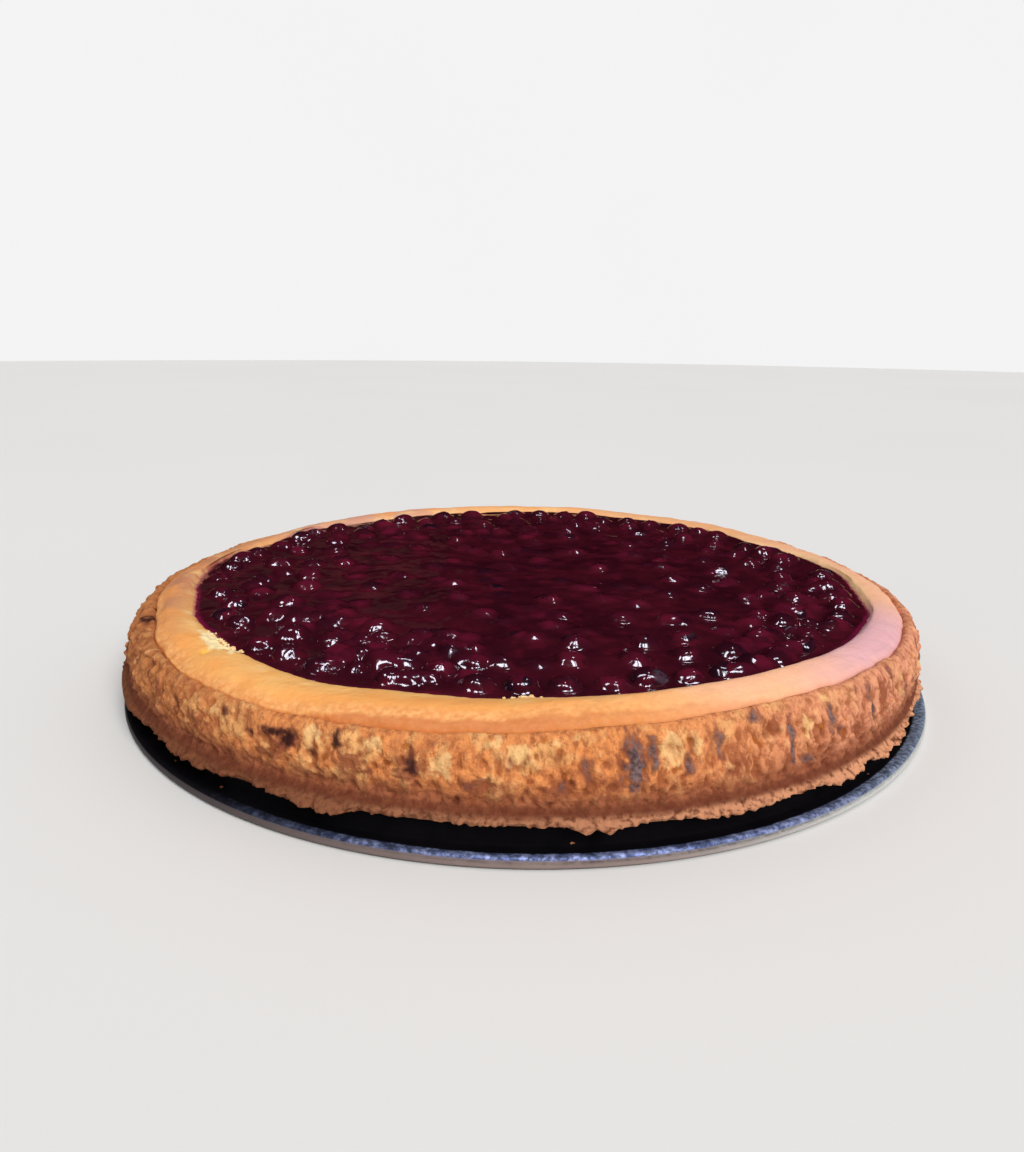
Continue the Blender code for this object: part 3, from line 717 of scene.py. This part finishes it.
turns = np.linspace(0, 2 * math.pi, GLAZE_STEPS, endpoint=False)
edge = np.array([ragged_shore(math.degrees(turn)) for turn in turns]) + RUN_OVER
share = np.append(np.linspace(0.004, 0.981, GLAZE_ROWS - 5) ** 0.8, [0.990, 0.994, 0.997, 0.999, 1.0])
away = share[:, None] * edge[None, :]
glaze_x, glaze_y = away * np.cos(turns), away * np.sin(turns)
brim = 1.0 - np.clip((away / POOL - 0.55) / 0.35, 0.0, 1.0)
glaze_z = POOL_LEVEL + FILLED + FULLER * brim + 0.3 * np.sin(turns)[None, :] * (1.0 - brim)
warp_x, warp_y = np.zeros(glaze_z.shape), np.zeros(glaze_z.shape)
for row in range(GLAZE_ROWS):
    for step in range(GLAZE_STEPS):
        here = Vector((glaze_x[row, step], glaze_y[row, step], 0.0))
        warp_x[row, step], warp_y[row, step], _ = 0.9 * noise.noise_vector(here / 3.8)
        ripple = 0.32 * noise.noise(here / 15.0) + 0.20 * noise.noise(here / 6.0)
        glaze_z[row, step] += ripple + 0.05 * noise.noise(here / 2.4)
draw = random.Random(BERRY_SEED + 2)
humps = [(x, y, radius, BERRY_LEVEL + lift, draw.uniform(-0.2, 0.65)) for x, y, radius, lift in berries]
for _ in range(SUNK_BERRIES):
    turn, out = draw.uniform(0, 2 * math.pi), 0.85 * POOL * math.sqrt(draw.random())
    radius = BERRY * draw.uniform(0.85, 1.1)
    middle = POOL_LEVEL - draw.uniform(1.6, 2.6)
    humps.append((out * math.cos(turn), out * math.sin(turn), radius, middle, 0.3))
for first, last, nearest, furthest, count in CROWD:
    for _ in range(count):
        turn, out = math.radians(draw.uniform(first, last)), draw.uniform(nearest, furthest)
        radius = BERRY * draw.uniform(0.75, 1.05)
        middle = POOL_LEVEL - draw.uniform(0.2, 1.3)
        humps.append((out * math.cos(turn), out * math.sin(turn), radius, middle, 0.35))
beside_rim = np.clip((share - 0.86) / 0.12, 0.0, 1.0)
glaze_z += np.outer(beside_rim, [shore_rise(math.degrees(turn)) for turn in turns])
domed, shade = np.zeros(glaze_z.shape), np.full(glaze_z.shape, 0.5)
for x, y, radius, middle, film in humps:
    apart = np.hypot(glaze_x + warp_x - x, glaze_y + warp_y - y) / radius
    dome = middle + film + SQUAT * radius * np.sqrt(np.clip(1.0 - apart ** 2, 0.0, 1.0))
    dome -= 6.0 * (apart >= 1.0)
    meet = np.clip(MENISCUS - np.abs(glaze_z - dome), 0.0, None) / MENISCUS
    near = np.clip(1.15 - apart, 0.0, 1.0)
    shade = np.where(near > domed, draw.random(), shade)
    domed = np.maximum(domed, near)
    glaze_z = np.maximum(glaze_z, dome) + 0.25 * MENISCUS * meet ** 2
shore_gap = edge[None, :] - away
glaze_z -= 0.4 * (1.0 - np.clip(shore_gap / 1.6, 0.0, 1.0)) ** 2
glaze_rings = np.stack([glaze_x, glaze_y, glaze_z], axis=-1)
foot = glaze_rings[-1:].copy()
foot[..., 2] = POOL_FLOOR
glaze_grid = np.concatenate([glaze_rings, foot])
thin = np.concatenate([shore_gap, shore_gap[-1:]])
domed = np.concatenate([domed, domed[-1:]])
shade = np.concatenate([shade, shade[-1:]])
glaze = skin("berry_glaze", glaze_grid, (0, 0, POOL_LEVEL), (0, 0, POOL_FLOOR),
             {"shore_gap": thin, "domed": domed, "shade": shade})

juice = Finish("set_berry_juice", {"IOR": 1.5})
deep = juice.mix((0.036, 0.0036, 0.0095), (0.060, 0.0052, 0.0130), juice.ease(juice.grain(12.0), 0.35, 0.65))
deep = juice.mix(deep, (0.12, 0.006, 0.020), 0.35 * juice.ease(juice.grain(6.0, detail=4.0), 0.5, 0.7))
berry_tone = juice.mix((0.016, 0.003, 0.009), (0.13, 0.007, 0.026), juice.mark("shade"))
deep = juice.mix(deep, berry_tone, 0.7 * juice.ease(juice.mark("domed"), 0.15, 0.7))
sides = juice.ease(juice.maths("ABSOLUTE", juice.x, 0.0), 75.0, 105.0)
thin_edge = 1.0 - juice.ease(juice.mark("shore_gap"), 0.2, 1.8)
deep = juice.mix(deep, (0.26, 0.012, 0.07), thin_edge * (0.05 + 0.7 * sides))
juice.feed(juice.shader, {
    "Base Color": deep,
    "Roughness": 0.07 + 0.08 * juice.grain(9.0),
    "Normal": juice.bump((0.1 + 0.75 * juice.mark("domed")) * juice.grain(3.6, detail=0.0)
                         + 0.5 * juice.grain(7.0, detail=0.0), 0.9),
})
glaze.data.materials.append(juice.material)
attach(glaze, "root")
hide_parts("blueberry_topping")


# Crumbs: toasted ones broken off the flange onto the base, and pale ones of cheese where the knife or
# ring dragged along the shore. Each is a small rough lump; all of a kind are one joined mesh.
def crumb_heap(name, spots, seed):
    """One mesh of rough lumps; each spot is x, y, z and a half size in mm."""
    draw = random.Random(seed)
    points, faces = [], []
    for x, y, z, size in spots:
        start = len(points)
        lump = bmesh.new()
        bmesh.ops.create_icosphere(lump, subdivisions=2, radius=1.0)
        squash = Vector((draw.uniform(0.7, 1.2), draw.uniform(0.7, 1.2), draw.uniform(0.5, 0.8)))
        shift = Vector((draw.uniform(0, 50), draw.uniform(0, 50), 0))
        for vert in lump.verts:
            rough = 1.0 + 0.35 * noise.noise(vert.co * 1.4 + shift) + 0.2 * noise.noise(vert.co * 3.1 + shift)
            grown = vert.co * squash * rough * size
            points.append(((x + grown.x) * MM, (y + grown.y) * MM, (z + grown.z) * MM))
        faces += [[start + vert.index for vert in face.verts] for face in lump.faces]
        lump.free()
    mesh = bpy.data.meshes.new(name)
    mesh.from_pydata(points, [], faces)
    made = bpy.data.objects.new(name, mesh)
    bpy.context.scene.collection.objects.link(made)
    return made


CRUMB_SEED = 5
FALLEN_CRUMBS = 18
draw = random.Random(CRUMB_SEED)
fallen = [(9.7, -126.8, CHANNEL + 0.5, 0.75)]
for _ in range(FALLEN_CRUMBS):
    turn = draw.uniform(0, 2 * math.pi)
    size = draw.uniform(0.15, 0.4)
    out = draw.uniform(PLATEAU_EDGE + 2.0, bead_middle[0] - 2.4)
    fallen.append((out * math.cos(turn), out * math.sin(turn), CHANNEL + 0.6 * size, size))
pastry_crumbs = crumb_heap("pastry_crumbs", fallen, CRUMB_SEED + 1)
pastry_crumbs.data.materials.append(crust.material)
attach(pastry_crumbs, "root")

dragged = []
for middle, width, count in ((269, 2.6, 14), (221, 4.5, 24), (120, 6.0, 8)):
    for _ in range(count):
        bearing = draw.gauss(middle, 0.45 * width)
        out = ragged_shore(bearing) + draw.uniform(0.9, 2.2)
        size = draw.uniform(0.25, 0.65)
        turn = math.radians(bearing)
        dragged.append((out * math.cos(turn), out * math.sin(turn), POOL_LEVEL + 0.6 + 0.2 * size, size))
cheese_crumbs = crumb_heap("cheese_crumbs", dragged, CRUMB_SEED + 2)
pallor = Finish("pale_cheese_crumb", {"IOR": 1.4, "Specular IOR Level": 0.2})
pallor.feed(pallor.shader, {
    "Base Color": pallor.mix((0.92, 0.60, 0.28), (0.96, 0.74, 0.42),
                             pallor.ease(pallor.grain(1.5), 0.35, 0.65)),
    "Roughness": 0.6 + 0.2 * pallor.grain(1.0),
    "Normal": pallor.bump(pallor.grain(0.5, detail=4.0), 0.2),
})
cheese_crumbs.data.materials.append(pallor.material)
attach(cheese_crumbs, "root")


# Studio: a plain pale floor and a pale surround, a soft key at the front right, and four window panes
# and a dim warm card that only show as reflections in the glaze, as the room's did in the photograph.
FLOOR_SIZE = 6.0
PANE = (0.12, 0.14)
PANE_GAP = 0.05
KEY_FROM = (0.30, -0.55, 0.55)
KEY_STRENGTH = 2.45
KEY_SOFTNESS = 0.5
SKY_STRENGTH = 0.5
ON_CAKE = (0, 0, 0.03)
SKY_BLUE = (0.84, 0.86, 1.0)


def softbox(name, place, target, size, watts, colour):
    """A lit rectangle that shows only as a reflection."""
    lamp = bpy.data.lights.new(name, "AREA")
    lamp.shape = "RECTANGLE"
    lamp.size, lamp.size_y = size
    lamp.energy = watts
    lamp.color = colour
    made = bpy.data.objects.new(name, lamp)
    made.location = place
    made.rotation_euler = (Vector(target) - Vector(place)).to_track_quat("-Z", "Y").to_euler()
    made.visible_camera = False
    made.visible_diffuse = False
    made.visible_glossy = True
    bpy.context.scene.collection.objects.link(made)


bpy.ops.mesh.primitive_plane_add(size=FLOOR_SIZE)
floor = bpy.context.object
floor.name = "floor"
pale = Finish("pale_floor", {"Roughness": 0.9, "Specular IOR Level": 0.1})
pale.feed(pale.shader, {"Base Color": pale.mix((0.78, 0.78, 0.78), (0.82, 0.82, 0.82), pale.grain(400.0))})
floor.data.materials.append(pale.material)

sun = bpy.data.lights.new("key", "SUN")
sun.energy = KEY_STRENGTH
sun.angle = KEY_SOFTNESS
sun.color = (1.0, 0.97, 0.93)
key = bpy.data.objects.new("key", sun)
key.rotation_euler = Vector(KEY_FROM).to_track_quat("Z", "Y").to_euler()
key.visible_glossy = False
bpy.context.scene.collection.objects.link(key)
for side in (-1, 1):
    place = (0.08 + side * 0.5 * (PANE[0] + PANE_GAP), -0.24, 0.60)
    softbox("pane", place, ON_CAKE, PANE, 1.6, SKY_BLUE)
softbox("side_pane", (-0.28, -0.10, 0.55), ON_CAKE, PANE, 1.4, (0.86, 0.87, 1.0))
softbox("high_pane", (0.12, 0.12, 0.58), ON_CAKE, (0.07, 0.08), 0.45, SKY_BLUE)
softbox("warm_card", (-0.35, 0.9, 0.32), (-0.02, 0, 0.03), (0.5, 0.12), 0.009, (1.0, 0.62, 0.42))
bpy.ops.mesh.primitive_uv_sphere_add(segments=48, ring_count=24, radius=0.5 * FLOOR_SIZE)
surround = bpy.context.object
surround.name = "pale_surround"
for ray in ("diffuse", "glossy", "transmission", "shadow"):
    setattr(surround, "visible_" + ray, False)
paper = Finish("pale_paper", {"Base Color": (0.0, 0.0, 0.0), "Emission Strength": 1.0,
                              "Specular IOR Level": 0.0})
paper.feed(paper.shader, {
    "Emission Color": paper.mix((0.89, 0.89, 0.89), (0.91, 0.91, 0.91), paper.grain(900.0)),
})
surround.data.materials.append(paper.material)

world = bpy.data.worlds.new("studio")
bpy.context.scene.world = world
world.use_nodes = True
world.node_tree.nodes["Background"].inputs["Color"].default_value = (0.96, 0.96, 0.97, 1.0)
world.node_tree.nodes["Background"].inputs["Strength"].default_value = SKY_STRENGTH
world.cycles_visibility.glossy = False
bpy.context.scene.view_settings.view_transform = "Standard"
